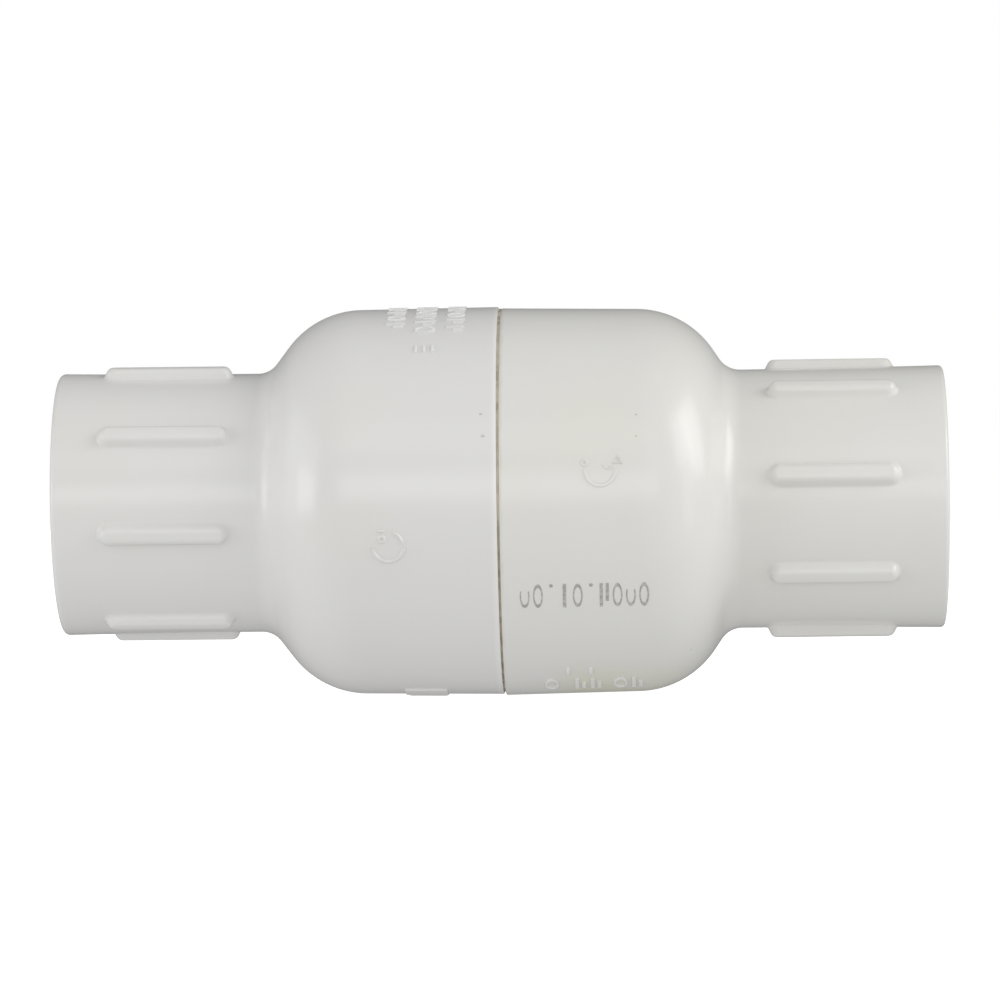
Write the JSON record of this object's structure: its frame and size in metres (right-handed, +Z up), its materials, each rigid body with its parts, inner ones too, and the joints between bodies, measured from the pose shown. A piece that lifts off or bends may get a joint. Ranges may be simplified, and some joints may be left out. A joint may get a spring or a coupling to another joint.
{
  "type": "check valve",
  "caption": "White PVC in-line check valve: two cemented domed halves with ribbed threaded ends, and a spring-closed poppet inside.",
  "frame": {"origin": "on the flow axis, in the plane where the two body halves meet, midway between the mouths", "axes": "+X along the flow, from the inlet mouth at -X to the outlet mouth at +X; +Z up; -Y faces the viewer"},
  "size_m": [0.195, 0.086, 0.0866],
  "materials": {
    "inlet_pvc": "satin",
    "outlet_pvc": "satin",
    "cement": "satin",
    "cage_pvc": "satin",
    "poppet_acetal": "satin",
    "seal_rubber": "matte",
    "spring_steel": "polished",
    "washer_steel": "satin"
  },
  "bodies": {
    "valve_body": {"inlet_body": "inlet_pvc", "inlet_socket": "inlet_pvc", "outlet_body": "outlet_pvc", "outlet_socket": "outlet_pvc", "joint_cement": "cement", "guide_cage": "cage_pvc", "spring_washer": "washer_steel", "spring": "spring_steel"},
    "poppet_carrier": {"poppet": "poppet_acetal", "poppet_seal": "seal_rubber", "seal_retainer": "poppet_acetal", "retainer_washer": "washer_steel", "retainer_screw": "washer_steel"}
  },
  "joints": [
    {"name": "poppet_slide", "type": "slide", "parent": "valve_body", "child": "poppet_carrier", "axis": [1, 0, 0], "range_m": [0, 0.013], "stiffness_N_per_m": 360, "springref_m": -0.0143, "deforming": ["spring"]}
  ]
}
